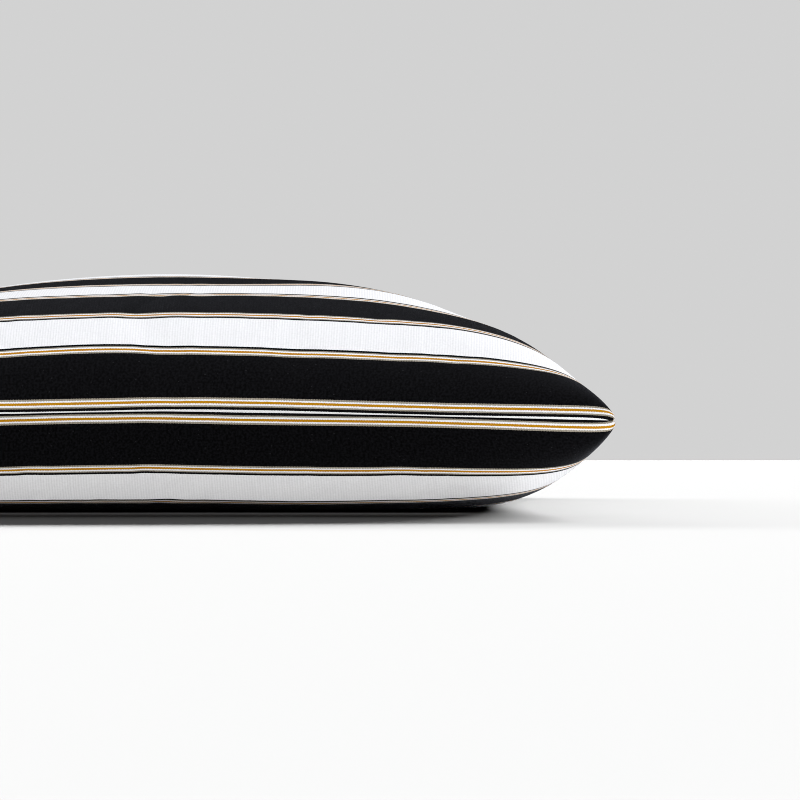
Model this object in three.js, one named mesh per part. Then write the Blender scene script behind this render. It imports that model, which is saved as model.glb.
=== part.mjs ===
// Square throw pillow: a filled cover of two striped panels, lying on its back.
// X runs along the stripes and the front seam, Y from the front seam to the back one, Z up.
// The origin lies under the middle of the cushion, on the surface that it rests on.
// All lengths are in millimetres.

import * as THREE from "three";

// The cover
const PANEL_SIDE = 508; // one square panel between its seams, laid flat
const SEAM_PUCKER = 0.028; // share of a seam's length that its small puckers take up
const DRAW_IN = 21; // how far the middle of each side pulls in from the line of its corners

// The filling
const SEAM_HEIGHT = 56.5; // the seam above the surface, at the middle of a side
const CORNER_DROP = 5; // how much lower a corner lies than the middle of a side
const CORNER_DROP_POWER = 1.27; // how evenly the seam falls towards its corners
const CROWN_RISE = 80.5; // the crown above the seam
const BELLY_DEPTH = 114; // how far the lower panel would hang if nothing carried it
const BELLY_ROUND = 25; // the belly's last drop, over which it turns onto the surface
const FLAT_SHARE = 0.37; // share of the width and depth over which it lies quite flat
const FLAT_LIFT = 4; // slope of the nearly flat cloth around that, so that the flat patch bears the weight

// The section from one seam to the other: a rounded edge and a flat middle
const FULL_SECTION = { power: 2.25, fullness: 0.805 }; // the crown both ways, the belly along the stripes
const LEAN_SECTION = { power: 1.1, fullness: 0.745 }; // the belly across the stripes
const CORNER_SOFTNESS = 1.34; // how gently the sections across and along meet near a corner

const CELLS = 34; // cells of the mesh along one side of a panel

const cornerReach = (PANEL_SIDE / 2) * (1 - SEAM_PUCKER);

/** Height from 0 at a seam to 1 in the middle, at place t from -1 to 1 across the panel. */
function section(t, { power, fullness }) {
  return Math.max(1 - Math.abs(t) ** power, 0) ** fullness;
}

/** The sections along and across, joined softly: 0 on every seam, 1 in the middle. */
function swell(along, across, acrossSection) {
  const a = section(along, FULL_SECTION) ** -CORNER_SOFTNESS;
  const b = section(across, acrossSection) ** -CORNER_SOFTNESS;
  return (2 / (a + b)) ** (1 / CORNER_SOFTNESS);
}

/** Half the cushion's width or depth, drawn in between the corners. */
function reach(t) {
  return cornerReach - DRAW_IN * (1 - t * t);
}

function seamHeight(along, across) {
  return SEAM_HEIGHT - CORNER_DROP * Math.abs(along * across) ** CORNER_DROP_POWER;
}

function upperHeight(along, across) {
  return seamHeight(along, across) + CROWN_RISE * swell(along, across, FULL_SECTION);
}

/** The lower panel, which turns softly onto the surface and lies flat on it. */
function lowerHeight(along, across) {
  const free = seamHeight(along, across) - BELLY_DEPTH * swell(along, across, LEAN_SECTION);
  const lift = FLAT_LIFT * (Math.max(Math.abs(along), Math.abs(across)) - FLAT_SHARE);
  if (free >= BELLY_ROUND) return free;
  if (free <= -BELLY_ROUND) return Math.max(lift, 0);
  return Math.max(lift, (free + BELLY_ROUND) ** 2 / (4 * BELLY_ROUND), 0);
}

/** Places across a panel from -1 to 1, closer together near the seams. */
function meshPlaces() {
  const places = [];
  for (let i = 0; i <= CELLS; i += 1) {
    places.push(Math.sin((Math.PI / 2) * ((2 * i) / CELLS - 1)));
  }
  return places;
}

/** The triangles of one panel, facing up for the upper panel and down for the lower one. */
function panelTriangles(height, facesUp) {
  const places = meshPlaces();
  const corner = (i, j) => {
    const along = places[i];
    const across = places[j];
    return [along * reach(across), across * reach(along), height(along, across)];
  };
  const positions = [];
  for (let i = 0; i < CELLS; i += 1) {
    for (let j = 0; j < CELLS; j += 1) {
      const cell = [corner(i, j), corner(i + 1, j), corner(i + 1, j + 1), corner(i, j + 1)];
      // the diagonal of each cell runs towards the panel's middle, so the corners stay pointed
      const turn = (2 * i < CELLS) === (2 * j < CELLS) ? 0 : 1;
      const [a, b, c, d] = [0, 1, 2, 3].map((n) => cell[(n + turn) % 4]);
      const triangles = facesUp ? [a, b, c, a, c, d] : [a, c, b, a, d, c];
      positions.push(...triangles.flat());
    }
  }
  return positions;
}

/** The filled cover as one closed solid, its two panels meeting in the seam. */
function cushionGeometry() {
  const positions = [...panelTriangles(upperHeight, true), ...panelTriangles(lowerHeight, false)];
  const geometry = new THREE.BufferGeometry();
  geometry.setAttribute("position", new THREE.Float32BufferAttribute(positions, 3));
  geometry.computeVertexNormals();
  return geometry;
}

const cloth = new THREE.MeshStandardMaterial({ color: 0x17171a, roughness: 0.9, metalness: 0 });

const cushion = new THREE.Mesh(cushionGeometry(), cloth);
cushion.name = "cushion";

const pillow = new THREE.Group();
pillow.add(cushion);

export default pillow;
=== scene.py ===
import math

import bpy
import numpy as np
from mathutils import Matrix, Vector


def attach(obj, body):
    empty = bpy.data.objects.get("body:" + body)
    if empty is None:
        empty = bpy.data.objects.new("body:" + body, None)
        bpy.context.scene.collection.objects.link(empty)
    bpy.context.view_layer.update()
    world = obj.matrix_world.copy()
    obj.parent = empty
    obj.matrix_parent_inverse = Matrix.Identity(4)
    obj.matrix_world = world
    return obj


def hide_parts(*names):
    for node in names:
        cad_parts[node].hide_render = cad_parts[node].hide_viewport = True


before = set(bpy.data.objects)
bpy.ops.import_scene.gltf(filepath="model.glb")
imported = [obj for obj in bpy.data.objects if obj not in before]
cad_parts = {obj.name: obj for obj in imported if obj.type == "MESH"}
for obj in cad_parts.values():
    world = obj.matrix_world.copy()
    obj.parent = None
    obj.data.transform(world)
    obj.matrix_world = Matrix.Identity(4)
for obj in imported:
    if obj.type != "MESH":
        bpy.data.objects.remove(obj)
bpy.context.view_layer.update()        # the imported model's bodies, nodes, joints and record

# A square throw pillow of striped rib-weave cloth, lying on its back. X runs along the stripes and
# the front seam, Y from the front seam to the back one, Z up. All lengths are in metres.


# The camera stands square to the front seam, a little above its height, and looks level through a
# long lens, so that the crown and the belly show about equally.

SENSOR_WIDTH = 36  # millimetres, as camera makers give it
VIEW_WIDTH = 0.436  # width of the picture at the front seam
VIEW_DISTANCE = 2.2  # from the front seam
VIEW_RIGHT = 0.1281  # the camera stands this far right of the pillow's middle
EYE_HEIGHT = 0.0627
FRONT_SEAM_Y = -0.2259  # the front seam at the middle of its length
PIXEL_SPREAD = 1.0  # pixels that the picture is softened over, few so that fine lines stay crisp

camera_lens = bpy.data.cameras.new("camera")
camera_lens.sensor_width = SENSOR_WIDTH
camera_lens.lens = SENSOR_WIDTH * VIEW_DISTANCE / VIEW_WIDTH
camera = bpy.data.objects.new("camera", camera_lens)
camera.location = (VIEW_RIGHT, FRONT_SEAM_Y - VIEW_DISTANCE, EYE_HEIGHT)
camera.rotation_euler = (math.pi / 2, 0, 0)
bpy.context.scene.collection.objects.link(camera)
bpy.context.scene.camera = camera
bpy.context.scene.view_settings.view_transform = "Standard"
bpy.context.scene.cycles.filter_width = PIXEL_SPREAD
bpy.context.scene.cycles.denoising_prefilter = "NONE"  # keeps the weave's small steps


# The surface that the pillow lies on is a matt sheet that ends behind it, in front of a plain grey
# wall. Two long strips of light behind the pillow, the brighter one on the right, make the sheet pale
# and cast the shadow, and a weak lamp above the back softens it. A broad lamp above lights the pillow,
# and one in front, which shines up through the near sheet, fills the pillow's lower half.

WALL_GREY = 0.645  # as the camera sees it
ROOM_LIGHT = 0.08  # as the pillow and the sheet see it
FLOOR_FAR_EDGE = 1.79
FLOOR_NEAR_EDGE = -3.2
FLOOR_HALF_WIDTH = 3.0
FLOOR_JOINT = -0.188  # where its two sheets meet, beside the front of the pillow
FLOOR_DROP = 0.0001  # below the underside, so that the two faces never share one plane
FLOOR_COLOUR = (0.1, 0.1, 0.1, 1)  # pale in this light
FLOOR_ROUGHNESS = 0.9
LAMP_DISTANCE = 120.0

# Heights are degrees above the surface, turns are degrees to the right of the back, and spreads are
# how many degrees of the sky a lamp takes up. A strip's ends are in metres right of the middle, for a
# lamp one metre away, and its brightness is in watts for each of those metres.
RIGHT_STRIP = {"brightness": 347, "height": 24.5, "begin": 0.2, "end": 1.2}
LEFT_STRIP = {"brightness": 68, "height": 21, "begin": -1.2, "end": 0.2}
STRIP_SPREAD = 5
BACK_LAMP = {"strength": 2.1, "height": 50, "turn": 0, "spread": 40}
TOP_LAMP = {"strength": 4.05, "height": 68, "turn": 80, "spread": 70}
FRONT_LAMP = {"strength": 2.45, "height": -30, "turn": 195, "spread": 36}
FRONT_TINT = (1, 0.985, 0.955)

world = bpy.data.worlds.new("wall")
world.use_nodes = True
room = world.node_tree.nodes["Background"]
seen = world.node_tree.nodes.new("ShaderNodeLightPath").outputs["Is Camera Ray"]
strength = world.node_tree.nodes.new("ShaderNodeMapRange")
strength.inputs["To Min"].default_value = ROOM_LIGHT
strength.inputs["To Max"].default_value = WALL_GREY
world.node_tree.links.new(seen, strength.inputs["Value"])
world.node_tree.links.new(strength.outputs["Result"], room.inputs["Strength"])
room.inputs["Color"].default_value = (1, 1, 1, 1)
bpy.context.scene.world = world

floor_finish = bpy.data.materials.new("pale_sheet")
floor_finish.use_nodes = True
floor_shader = floor_finish.node_tree.nodes["Principled BSDF"]
floor_shader.inputs["Base Color"].default_value = FLOOR_COLOUR
floor_shader.inputs["Roughness"].default_value = FLOOR_ROUGHNESS
floor_shader.inputs["Specular IOR Level"].default_value = 0.0


def floor_sheet(name, near, far):
    corners = [
        (-FLOOR_HALF_WIDTH, near, -FLOOR_DROP),
        (FLOOR_HALF_WIDTH, near, -FLOOR_DROP),
        (FLOOR_HALF_WIDTH, far, -FLOOR_DROP),
        (-FLOOR_HALF_WIDTH, far, -FLOOR_DROP),
    ]
    mesh = bpy.data.meshes.new(name)
    mesh.from_pydata(corners, [], [(0, 1, 2, 3)])
    mesh.materials.append(floor_finish)
    sheet = bpy.data.objects.new(name, mesh)
    bpy.context.scene.collection.objects.link(sheet)
    return sheet


front_sheet = floor_sheet("front_sheet", FLOOR_NEAR_EDGE, FLOOR_JOINT)
back_sheet = floor_sheet("back_sheet", FLOOR_JOINT, FLOOR_FAR_EDGE)


def collected(name, members, state):
    """A collection that takes those sheets in, or all but them, for a lamp's light."""
    collection = bpy.data.collections.new(name)
    for place, member in enumerate(members):
        collection.objects.link(member)
        collection.collection_objects[place].light_linking.link_state = state
    return collection


only_floor = collected("only_floor", (front_sheet, back_sheet), "INCLUDE")
all_but_floor = collected("all_but_floor", (front_sheet, back_sheet), "EXCLUDE")
all_but_front = collected("all_but_front", (front_sheet,), "EXCLUDE")


def lamp(name, kind, strength, height, turn, lit, aside=0):
    """A far lamp that lights one collection and points at the pillow's middle.

    It is moved aside to the right by that share of its distance, without turning it."""
    light = bpy.data.lights.new(name, kind)
    light.energy = strength
    far = bpy.data.objects.new(name, light)
    far.rotation_euler = (math.radians(height - 90), 0, math.radians(-turn))
    far.location = far.rotation_euler.to_matrix() @ Vector((aside, 0, 1)) * LAMP_DISTANCE
    far.light_linking.receiver_collection = lit
    bpy.context.scene.collection.objects.link(far)
    return far


def strip_lamp(name, brightness, height, begin, end):
    """A strip of light behind the pillow, parallel to the front seam."""
    watts = brightness * (end - begin) * LAMP_DISTANCE**2
    strip = lamp(name, "AREA", watts, height, turn=0, lit=only_floor, aside=(begin + end) / 2).data
    strip.shape = "RECTANGLE"
    strip.size = LAMP_DISTANCE * (end - begin)
    strip.size_y = 2 * LAMP_DISTANCE * math.tan(math.radians(STRIP_SPREAD / 2))


def broad_lamp(name, strength, height, turn, spread, lit):
    broad = lamp(name, "SUN", strength, height, turn, lit)
    broad.data.angle = math.radians(spread)
    return broad


strip_lamp("right_strip", **RIGHT_STRIP)
strip_lamp("left_strip", **LEFT_STRIP)
broad_lamp("back_lamp", lit=only_floor, **BACK_LAMP)
broad_lamp("top_lamp", lit=all_but_floor, **TOP_LAMP)
front_lamp = broad_lamp("front_lamp", lit=all_but_floor, **FRONT_LAMP)
front_lamp.data.color = FRONT_TINT
front_lamp.light_linking.blocker_collection = all_but_front


# The filled cover: two square panels of cloth that the filling swells into a crown above the seam
# and a belly below it. The sides pull in between the corners, and the belly lies flat underneath.

PANEL_SIDE = 0.508
SEAM_PUCKER = 0.028  # share of a seam's length that its small puckers take up
DRAW_IN = 0.021
SEAM_HEIGHT = 0.0565
CORNER_DROP = 0.005
CORNER_DROP_POWER = 1.27
CROWN_RISE = 0.0805
BELLY_DEPTH = 0.114
BELLY_ROUND = 0.025
FULL_SECTION = {"power": 2.25, "fullness": 0.805}  # the crown both ways, the belly along the stripes
LEAN_SECTION = {"power": 1.1, "fullness": 0.745}  # the belly across the stripes
CORNER_SOFTNESS = 1.34
CORNER_SLACK = 0.35  # share of the fullness that a corner lacks, because the filling hardly gets there
CORNER_SLACK_POWER = 25
CORNER_REACH = PANEL_SIDE / 2 * (1 - SEAM_PUCKER)
FORM_POINTS = 321  # along each side, where the cloth's length over the form is measured
DRAPE_ROUNDS = 12  # of closing in on where a place on the cloth lies
SEAM_CROWDING = 1.3  # how much closer together its points lie near the seams
NEARLY_NOTHING = 1e-12  # stands for 0 at a seam, where a power of it would fail
LAST_CELL = 1e-9  # a place at the last point of a grid is read this far inside its last cell


def section(place, power, fullness):
    """Height from 0 at a seam to 1 in the middle, at a place from -1 to 1 across the panel."""
    return np.maximum(1 - np.abs(place) ** power, NEARLY_NOTHING) ** fullness


def swell(along, across, across_section):
    """The sections along and across, joined softly: 0 on every seam, 1 in the middle."""
    thin_along = section(along, **FULL_SECTION) ** -CORNER_SOFTNESS
    thin_across = section(across, **across_section) ** -CORNER_SOFTNESS
    slack = CORNER_SLACK * np.abs(along * across) ** CORNER_SLACK_POWER
    return (2 / (thin_along + thin_across)) ** (1 / CORNER_SOFTNESS) * (1 - slack)


def reach(place):
    """Half the width or depth, drawn in between the corners."""
    return CORNER_REACH - DRAW_IN * (1 - place**2)


def seam_height(along, across):
    return SEAM_HEIGHT - CORNER_DROP * np.abs(along * across) ** CORNER_DROP_POWER


def crown_height(along, across):
    return seam_height(along, across) + CROWN_RISE * swell(along, across, FULL_SECTION)


def belly_height(along, across):
    """The lower panel hangs from the seam and turns softly onto the surface."""
    free = seam_height(along, across) - BELLY_DEPTH * swell(along, across, LEAN_SECTION)
    turning = (np.clip(free, -BELLY_ROUND, BELLY_ROUND) + BELLY_ROUND) ** 2 / (4 * BELLY_ROUND)
    return np.where(free >= BELLY_ROUND, free, turning)


def form_point(height, along, across):
    place = (along * reach(across), across * reach(along), height(along, across))
    return np.stack(place, axis=-1)


def eased(place):
    """Even places from -1 to 1, moved closer together near the seams, where the form is steep."""
    return np.sign(place) * (1 - (1 - np.abs(place)) ** SEAM_CROWDING)


def between(grid, x, y):
    """The grid's value at (x, y), both from -1 to 1, read in a straight line between its points."""
    last = grid.shape[0] - 1
    at_x = np.clip((x + 1) / 2 * last, 0, last - LAST_CELL)
    at_y = np.clip((y + 1) / 2 * last, 0, last - LAST_CELL)
    row, column = at_x.astype(int), at_y.astype(int)
    past_row, past_column = at_x - row, at_y - column
    here = grid[row, column] * (1 - past_column) + grid[row, column + 1] * past_column
    there = grid[row + 1, column] * (1 - past_column) + grid[row + 1, column + 1] * past_column
    return here * (1 - past_row) + there * past_row


def draped(height, want_x, want_y):
    """The form's points for cloth places from -1 to 1 on the flat panel, along and across.

    Cloth hardly stretches, so a place keeps its share of the length from seam to seam."""
    fine = np.linspace(-1, 1, FORM_POINTS)
    x, y = np.meshgrid(fine, fine, indexing="ij")
    points = form_point(height, eased(x), eased(y))
    cloth = []
    for axis in (0, 1):
        steps = np.linalg.norm(np.diff(points, axis=axis), axis=-1)
        run = np.concatenate([np.zeros_like(np.take(steps, [0], axis)), np.cumsum(steps, axis)], axis)
        cloth.append(2 * run / np.take(run, [-1], axis) - 1)
    slope_x = np.gradient(cloth[0], fine, axis=0)
    slope_y = np.gradient(cloth[1], fine, axis=1)
    x, y = want_x.copy(), want_y.copy()
    for _ in range(DRAPE_ROUNDS):
        x = np.clip(x + (want_x - between(cloth[0], x, y)) / between(slope_x, x, y), -1, 1)
        y = np.clip(y + (want_y - between(cloth[1], x, y)) / between(slope_y, x, y), -1, 1)
    return form_point(height, eased(x), eased(y))


# The filling is not quite even, so the cloth lies in soft swells and hollows. A row gives where one
# lies on the flat panel, in metres from its middle along and from the front seam across, its half
# sizes along and across, and how far it rises there.

UPPER_SWELLS = (
    (-0.040, 0.040, 0.045, 0.025, 0.0018),
    (0.205, 0.040, 0.035, 0.020, -0.0014),
    (0.125, 0.045, 0.050, 0.020, -0.0006),
    (0.170, 0.080, 0.050, 0.022, 0.0012),
    (0.185, 0.104, 0.030, 0.018, 0.0012),
    (0.060, 0.110, 0.060, 0.025, 0.0008),
    (0.085, 0.165, 0.040, 0.030, 0.0028),
    (0.125, 0.140, 0.045, 0.030, 0.0030),
    (0.000, 0.140, 0.080, 0.032, -0.0020),
    (0.185, 0.160, 0.035, 0.032, -0.0042),
    (0.140, 0.260, 0.090, 0.090, -0.0060),
    (0.000, 0.240, 0.060, 0.080, 0.0012),
)
LOWER_SWELLS = (
    (0.165, 0.038, 0.055, 0.025, 0.0008),
    (0.072, 0.075, 0.035, 0.025, -0.0006),
)
SWELL_FADE = 0.012  # how far from a seam they reach their height, because the panels meet there


def swells(rows, along, across):
    """How far the cloth rises above the even form, at cloth places from -1 to 1."""
    x = along * PANEL_SIDE / 2
    y = (across + 1) * PANEL_SIDE / 2
    rise = np.zeros_like(x)
    for middle_x, middle_y, half_x, half_y, height in rows:
        rise += height * np.exp(-(((x - middle_x) / half_x) ** 2) - ((y - middle_y) / half_y) ** 2)
    for place in (along, across):
        rise *= 1 - np.exp(-(((1 - np.abs(place)) * PANEL_SIDE / 2 / SWELL_FADE) ** 2))
    return rise


# The folds that the cover settles into when it is stuffed. The cover is cut as two flat squares and
# sewn, so its cloth is too wide for the form near the seams and corners, and gathers there.

FOLD_CELLS = 80  # along each side of a panel
FOLD_FRAMES = 20  # that the simulation runs for
COVER_CLOTH = {
    "quality": 6,
    "tension_stiffness": 40,
    "compression_stiffness": 6,
    "shear_stiffness": 6,
    "bending_stiffness": 0.3,
    "air_damping": 2,
    "use_pressure": True,
    "uniform_pressure_force": 3,
}
COVER_MASS = 0.9  # kilograms, with its filling
RESTING_BELOW = 1e-5  # cloth that starts lower than this stays where it is
FOLD_BREADTH = 45  # rounds of averaging that tell the broad swelling from the folds
FOLD_MOST = 0.005  # how far a point may move into a fold
FOLD_SHARES = (0.2, 0.6)  # how much of them is left, from the smoothed front seam to the back one


def grid_quads(number):
    """The cells of a panel's grid, facing up, from the numbers of its points."""
    cells = [number[:-1, :-1], number[1:, :-1], number[1:, 1:], number[:-1, 1:]]
    return np.stack(cells, axis=-1).reshape(-1, 4)


def sewn_cover():
    """Both panels on an even grid, as one closed mesh. Gives it with each panel's vertex numbers."""
    count = FOLD_CELLS + 1
    places = np.linspace(-1, 1, count)
    number_up = np.arange(count * count).reshape(count, count)
    number_down = number_up.copy()
    inner = (count - 2) ** 2
    number_down[1:-1, 1:-1] = np.arange(inner).reshape(count - 2, count - 2) + count * count
    along, across = np.meshgrid(places, places, indexing="ij")
    up = draped(crown_height, along, across)
    down = draped(belly_height, along, across)
    flat = np.stack([along, across, np.zeros_like(along)], axis=-1) * PANEL_SIDE / 2
    points = np.concatenate([up.reshape(-1, 3), down[1:-1, 1:-1].reshape(-1, 3)])
    flat_points = np.concatenate([flat.reshape(-1, 3), flat[1:-1, 1:-1].reshape(-1, 3)])
    faces = []
    for number, turned in ((number_up, False), (number_down, True)):
        quads = grid_quads(number)
        faces.extend((quads[:, ::-1] if turned else quads).tolist())
    mesh = bpy.data.meshes.new("cover")
    mesh.from_pydata(points.tolist(), [], faces)
    cover = bpy.data.objects.new("cover", mesh)
    bpy.context.scene.collection.objects.link(cover)
    cover.shape_key_add(name="stuffed")
    flat_key = cover.shape_key_add(name="flat")
    flat_key.data.foreach_set("co", flat_points.ravel())
    return cover, number_up, number_down, points


def settled_folds():
    """How far each point of the two panels moves into its folds."""
    cover, number_up, number_down, start = sewn_cover()
    held = cover.vertex_groups.new(name="held")
    held.add(np.flatnonzero(start[:, 2] < RESTING_BELOW).tolist(), 1, "REPLACE")
    cloth = cover.modifiers.new("cloth", "CLOTH")
    settings = cloth.settings
    settings.vertex_group_mass = "held"
    settings.rest_shape_key = cover.data.shape_keys.key_blocks["flat"]
    for name, value in COVER_CLOTH.items():
        setattr(settings, name, value)
    settings.mass = COVER_MASS / len(start)
    settings.effector_weights.gravity = 0
    cloth.collision_settings.use_collision = False
    cloth.point_cache.frame_start = 1
    cloth.point_cache.frame_end = FOLD_FRAMES
    for number in range(1, FOLD_FRAMES + 1):
        bpy.context.scene.frame_set(number)
    ended = cover.evaluated_get(bpy.context.evaluated_depsgraph_get()).data
    end = np.empty(len(start) * 3)
    ended.vertices.foreach_get("co", end)
    links = np.empty(len(ended.edges) * 2, dtype=int)
    ended.edges.foreach_get("vertices", links)
    links = links.reshape(-1, 2)
    moves = end.reshape(-1, 3) - start
    bpy.context.scene.frame_set(1)
    bpy.data.objects.remove(cover)

    # each point's broad move is the average around it, and the rest of its move is its fold
    broad = moves.copy()
    ends = np.concatenate([links[:, 0], links[:, 1]])
    others = np.concatenate([links[:, 1], links[:, 0]])
    neighbours = np.bincount(ends, minlength=len(start))[:, None]
    for _ in range(FOLD_BREADTH):
        sums = [np.bincount(ends, weights=broad[others, axis], minlength=len(start)) for axis in range(3)]
        broad = (broad + np.stack(sums, axis=-1) / neighbours) / 2
    folds = moves - broad
    size = np.linalg.norm(folds, axis=1, keepdims=True)
    folds *= FOLD_MOST / np.maximum(size, FOLD_MOST)
    share = np.interp(np.linspace(0, 1, FOLD_CELLS + 1) ** 2, (0, 1), FOLD_SHARES)[:, None]
    return folds[number_up] * share, folds[number_down] * share


crown_folds, belly_folds = settled_folds()


# Each panel is a fine grid over the form, with the settled folds laid on it. Its edge turns inwards
# into the seam, its corners are sewn a little round, and it is closed on the inside, where the
# filling is.

CREASE_DEPTH = 0.0012  # how far its edge turns into the seam
CREASE_WIDTH = 0.0016  # of the strip beside the seam that turns
CREASE_POWER = 1.5
CORNER_PULL = 0.003  # how far in the tip of a corner is sewn
CORNER_PULL_REACH = 0.006  # how far from the tip this has mostly faded
SEAM_STEPS = (0.0003, 0.0003, 0.0003, 0.0004, 0.0005, 0.0007, 0.001, 0.0014)  # cells from a seam
PANEL_STEP = 0.0019  # the other cells
BAKE_MARGIN = 0.02  # around the outer side, on a bake map that is 1 wide
INSIDE_MARGIN = 0.002  # beside the inner side, in the map's corner
INSIDE_WIDTH = 0.012


def panel_places():
    """Places from -1 to 1 on the flat panel, closer together beside the seams."""
    edge = np.concatenate([[0], np.cumsum(SEAM_STEPS)])
    middle_count = round((PANEL_SIDE - 2 * edge[-1]) / PANEL_STEP)
    middle = np.linspace(edge[-1], PANEL_SIDE - edge[-1], middle_count + 1)[1:-1]
    distances = np.concatenate([edge, middle, PANEL_SIDE - edge[::-1]])
    return distances / PANEL_SIDE * 2 - 1


def smooth_weights(places, count):
    """A table that reads an even row of values at the given places along a smooth curve."""
    position = np.clip((places + 1) / 2 * (count - 1), 0, count - 1 - LAST_CELL)
    first = position.astype(int)
    past = position - first
    shares = (
        (-past + 2 * past**2 - past**3) / 2,
        (2 - 5 * past**2 + 3 * past**3) / 2,
        (past + 4 * past**2 - 3 * past**3) / 2,
        (past**3 - past**2) / 2,
    )
    table = np.zeros((len(places), count))
    for step, share in zip((-1, 0, 1, 2), shares):
        np.add.at(table, (np.arange(len(places)), np.clip(first + step, 0, count - 1)), share)
    return table


def kept(along, across):
    """The share of a place's distance from the middle that is left where a corner is sewn round."""
    from_corner = (2 - np.abs(along) - np.abs(across)) * PANEL_SIDE / 2
    return 1 - CORNER_PULL / (PANEL_SIDE / 2) * np.exp(-from_corner / CORNER_PULL_REACH)


def panel_points(height, rows, folds, places):
    """The panel's points, one for each pair of places along and across."""
    along, across = np.meshgrid(places, places, indexing="ij")
    points = draped(height, along, across)
    points[..., :2] *= kept(along, across)[..., None]
    points[..., 2] += swells(rows, along, across)
    table = smooth_weights(places, FOLD_CELLS + 1)
    points += np.einsum("ai,ijk,bj->abk", table, folds, table, optimize=True)
    edge = (1 - np.abs(places)) * PANEL_SIDE / 2
    crease = CREASE_DEPTH * np.maximum(1 - edge / CREASE_WIDTH, 0) ** CREASE_POWER * -np.sign(places)
    points[..., 0] += crease[:, None]
    points[..., 1] += crease[None, :]
    points[..., 2] = np.maximum(points[..., 2], 0)
    return points


def panel_object(name, height, rows, folds, faces_up):
    places = panel_places()
    count = len(places)
    points = panel_points(height, rows, folds, places)
    number = np.arange(count * count).reshape(count, count)
    quads = grid_quads(number)
    rim = np.concatenate([number[:-1, 0], number[-1, :-1], number[:0:-1, -1], number[0, :0:-1]])
    middle = count * count
    fan = np.stack([np.roll(rim, -1), rim, np.full_like(rim, middle)], axis=-1)
    if not faces_up:
        quads, fan = quads[:, ::-1], fan[:, ::-1]
    all_points = np.concatenate([points.reshape(-1, 3), [[0, 0, SEAM_HEIGHT]]])
    mesh = bpy.data.meshes.new(name)
    mesh.from_pydata(all_points.tolist(), [], quads.tolist() + fan.tolist())
    mesh.polygons.foreach_set("use_smooth", np.ones(len(mesh.polygons), dtype=bool))

    # the cloth map is in metres from the front seam's left end, the bake map fills its square
    corners = np.empty(len(mesh.loops), dtype=int)
    mesh.loops.foreach_get("vertex_index", corners)
    along, across = np.meshgrid(places, places, indexing="ij")
    flat = np.stack([along, across], axis=-1)
    sewn = flat * kept(along, across)[..., None]
    flat, sewn = (np.concatenate([grid.reshape(-1, 2), [[0, 0]]])[corners] for grid in (flat, sewn))
    inside = np.arange(len(mesh.loops)) >= len(quads) * 4
    spread = (flat + 1) / 2
    bake = BAKE_MARGIN + (1 - 2 * BAKE_MARGIN) * spread
    bake[inside] = INSIDE_MARGIN + INSIDE_WIDTH * spread[inside]
    for map_name, values in (("OFBake", bake), ("cloth", (sewn + 1) / 2 * PANEL_SIDE)):
        uv_map = mesh.uv_layers.new(name=map_name)
        uv_map.data.foreach_set("uv", values.ravel())
    rim_edges = {tuple(sorted(pair)) for pair in zip(rim.tolist(), np.roll(rim, -1).tolist())}
    for edge in mesh.edges:
        if tuple(sorted(edge.vertices)) in rim_edges:
            edge.use_edge_sharp = True
    panel = bpy.data.objects.new(name, mesh)
    bpy.context.scene.collection.objects.link(panel)
    return panel


upper_panel = panel_object("upper_panel", crown_height, UPPER_SWELLS, crown_folds, True)
lower_panel = panel_object("lower_panel", belly_height, LOWER_SWELLS, belly_folds, False)


# The cloth: a warp-faced cotton rib in wide black and white bands. Between two bands run fine
# taupe, white and ochre yarns and one thin black line. The ribs cross the stripes.

BLACK_BAND = 0.0285
WHITE_BAND = 0.028
FINE_LINES = (
    ("taupe", 0.001),
    ("white", 0.00105),
    ("ochre", 0.0015),
    ("white", 0.00105),
    ("taupe", 0.001),
)
THIN_BLACK = 0.0016
RIB_PITCH = 0.00145
RIB_HEIGHT = 0.00005  # of its relief
RIB_UNEVEN = 0.0008  # how far the ribs stray from an even spacing
RIB_UNEVEN_SCALE = 600.0  # for each metre
YARN_PITCH = 0.0004
YARN_HEIGHT = 0.00003
UPPER_SLIVER = 0.00105  # width of the white band that is left beside the front seam
LOWER_SLIVER = -0.0002  # the seam takes this much of the thin black line
SEAM_WANDER = 0.0003  # how far the seam strays from the line of the stripes
WANDER_LENGTH = 0.2  # from one stray to the next
TEETH = 0.0003  # how far the lines step in and out
TEETH_RIB = 0.5  # how much they do so over each rib, against their fraying
THIN_RIB = 0.15  # share of the thin black line's width that comes and goes over each rib
THIN_FRAY = 0.4  # the same for its fraying
FRAY_SCALE = 1500.0
COLOURS = {
    "black": (0.0018, 0.0018, 0.002),
    "white": (0.84, 0.848, 0.88),
    "ochre": (0.46, 0.21, 0.007),
    "taupe": (0.29, 0.26, 0.21),
}
# painted shade: the grooves between the ribs are darkened in the colour, where shade falls in them
GROOVE_PAINTED_SHADE = 0.09  # how much darker the grooves are
MOTTLE = 0.14  # how far apart the darkest and the palest yarns are, as a share
FIBRE_SCALE = 700.0
FADED = (0.0034, 0.0034, 0.0042, 1)  # what the paler fibres add
FADED_FROM, FADED_TO = 0.35, 0.65  # the noise's values where they begin and where they are palest
LINT = (0.018, 0.018, 0.02, 1)
LINT_SPACING = 0.012
LINT_SIZE = 0.0005
LINT_SLIMNESS = 1.7
CLOTH_ROUGHNESS = 0.9
SHEEN_WEIGHT = 0.16
SHEEN_ROUGHNESS = 0.36
SHEEN_TINT = (0.85, 0.88, 1.0, 1.0)


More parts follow.
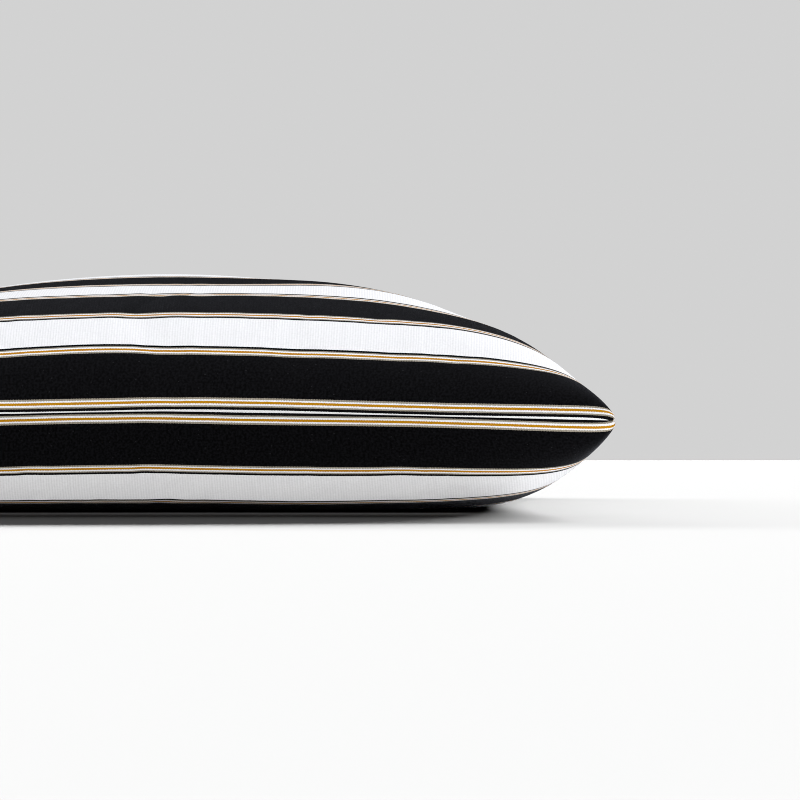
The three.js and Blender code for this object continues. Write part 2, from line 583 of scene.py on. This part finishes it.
class Field:
    """A value that changes over the cloth. Sums and products of it add their own nodes."""

    def __init__(self, tree, socket=None):
        self.tree = tree
        self.socket = socket

    def add(self, kind, settings, inputs, output=0):
        """A new node of that kind, and the field that comes out of it."""
        node = self.tree.nodes.new("ShaderNode" + kind)
        for name, value in settings.items():
            if name == "stops":
                set_stops(node.color_ramp, value)
            else:
                setattr(node, name, value)
        for name, value in inputs.items():
            if isinstance(value, Field):
                self.tree.links.new(value.socket, node.inputs[name])
            else:
                node.inputs[name].default_value = value
        return Field(self.tree, node.outputs[output])

    def maths(self, operation, *values):
        return self.add("Math", {"operation": operation}, dict(enumerate((self,) + values)))

    def __add__(self, other):
        return self.maths("ADD", other)

    def __mul__(self, other):
        return self.maths("MULTIPLY", other)

    def __sub__(self, other):
        return self.maths("SUBTRACT", other)

    def __rsub__(self, other):
        return self.add("Math", {"operation": "SUBTRACT"}, {0: other, 1: self})

    def __truediv__(self, other):
        return self.maths("DIVIDE", other)

    __radd__ = __add__
    __rmul__ = __mul__


def set_stops(ramp, stops):
    """Sets a ramp's hard-edged bands, each from its place on in its colour."""
    ramp.interpolation = "CONSTANT"
    while len(ramp.elements) > 1:
        ramp.elements.remove(ramp.elements[-1])
    for index, (place, colour) in enumerate(stops):
        stop = ramp.elements[0] if index == 0 else ramp.elements.new(place)
        stop.position = place
        stop.color = COLOURS[colour] + (1,)


def rounded(turns):
    """A wave that is 0 where the number of turns is whole and 1 halfway between."""
    return (turns * (2 * math.pi)).maths("COSINE") * -0.5 + 0.5


def striped_cloth(name, sliver):
    """The cloth of one panel, with that much white band beside its front seam."""
    material = bpy.data.materials.new(name)
    material.use_nodes = True
    tree = material.node_tree
    shader = tree.nodes["Principled BSDF"]
    start = Field(tree)
    flat = start.add("UVMap", {"uv_map": "cloth"}, {})
    along = start.add("SeparateXYZ", {}, {"Vector": flat}, "X")
    across = start.add("SeparateXYZ", {}, {"Vector": flat}, "Y")

    # ribs, each a thick weft yarn under the warp, a little uneven in their spacing
    uneven = start.add("TexNoise", {"noise_dimensions": "1D"}, {"W": along, "Scale": RIB_UNEVEN_SCALE})
    rib = (along + uneven * RIB_UNEVEN) / RIB_PITCH
    rib_round = rounded(rib)
    yarn_round = rounded(across / YARN_PITCH + rib.maths("FLOOR") * 0.5)

    # stripes, mirrored about the middle of each black band
    lines_width = sum(width for _, width in FINE_LINES)
    half_repeat = (BLACK_BAND + WHITE_BAND) / 2 + lines_width + THIN_BLACK
    first_middle = sliver + THIN_BLACK + lines_width + BLACK_BAND / 2
    wander = (along * (2 * math.pi / WANDER_LENGTH)).maths("COSINE") * SEAM_WANDER
    noise = {"noise_dimensions": "2D"}
    frayed = start.add("TexNoise", noise, {"Vector": flat, "Scale": FRAY_SCALE})
    place = (across + wander - first_middle).maths("PINGPONG", half_repeat)
    edge = place + (rib_round * TEETH_RIB + frayed - (TEETH_RIB + 1) / 2) * TEETH
    stops = [(0, "black")]
    reached = BLACK_BAND / 2
    for colour, width in FINE_LINES:
        stops.append((reached / half_repeat, colour))
        reached += width
    stops.append((reached / half_repeat, "white"))
    bands = start.add("ValToRGB", {"stops": stops}, {"Fac": edge / half_repeat})
    thin_middle = reached + THIN_BLACK / 2
    thin_least = 1 - (THIN_RIB + THIN_FRAY) / 2
    thin_half = (rib_round * THIN_RIB + frayed * THIN_FRAY + thin_least) * (THIN_BLACK / 2)
    thin = (thin_half - (place - thin_middle).maths("ABSOLUTE")).maths("GREATER_THAN", 0)
    mix = {"data_type": "RGBA"}
    black = COLOURS["black"] + (1,)
    striped = start.add("Mix", mix, {"Factor": thin, "A": bands, "B": black}, "Result")

    # painted shade makes the grooves between the ribs a little darker, and the yarns are not all dyed
    # alike
    mottle = start.add("TexNoise", noise, {"Vector": flat, "Scale": FIBRE_SCALE})
    painted_shade_and_dye = (rib_round * GROOVE_PAINTED_SHADE + (1 - GROOVE_PAINTED_SHADE)) * (mottle * MOTTLE + (1 - MOTTLE / 2))
    with_painted_shade = start.add("VectorMath", {"operation": "SCALE"}, {0: striped, "Scale": painted_shade_and_dye})
    pale_range = {"Value": mottle, "From Min": FADED_FROM, "From Max": FADED_TO}
    pale_fibres = start.add("MapRange", {}, pale_range)
    added = {"data_type": "RGBA", "blend_type": "ADD"}
    faded = start.add("Mix", added, {"Factor": pale_fibres, "A": with_painted_shade, "B": FADED}, "Result")

    # a few short pale fibres lie on the cloth, and show on the black
    stretched = start.add("VectorMath", {"operation": "MULTIPLY"}, {0: flat, 1: (1, LINT_SLIMNESS, 1)})
    cells = {"Vector": stretched, "Scale": 1 / LINT_SPACING}
    near = start.add("TexVoronoi", {"voronoi_dimensions": "2D"}, cells, "Distance")
    chance = start.add("TexVoronoi", {"voronoi_dimensions": "2D"}, cells, "Color")
    size = start.add("SeparateColor", {}, {"Color": chance}, "Red")
    lint = (size * (LINT_SIZE / LINT_SPACING) - near).maths("GREATER_THAN", 0)
    pale = {"data_type": "RGBA", "blend_type": "LIGHTEN"}
    colour = start.add("Mix", pale, {"Factor": lint, "A": faded, "B": LINT}, "Result")
    tree.links.new(colour.socket, shader.inputs["Base Color"])
    shader.inputs["Roughness"].default_value = CLOTH_ROUGHNESS
    shader.inputs["Specular IOR Level"].default_value = 0.0
    shader.inputs["Sheen Weight"].default_value = SHEEN_WEIGHT
    shader.inputs["Sheen Roughness"].default_value = SHEEN_ROUGHNESS
    shader.inputs["Sheen Tint"].default_value = SHEEN_TINT
    height = rib_round * RIB_HEIGHT + yarn_round * YARN_HEIGHT
    bump = start.add("Bump", {}, {"Height": height, "Distance": 1.0, "Strength": 1.0}, "Normal")
    tree.links.new(bump.socket, shader.inputs["Normal"])
    return material


for panel, sliver in ((upper_panel, UPPER_SLIVER), (lower_panel, LOWER_SLIVER)):
    panel.data.materials.append(striped_cloth(panel.name + "_cloth", sliver))
    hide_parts("cushion")
    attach(panel, "root")
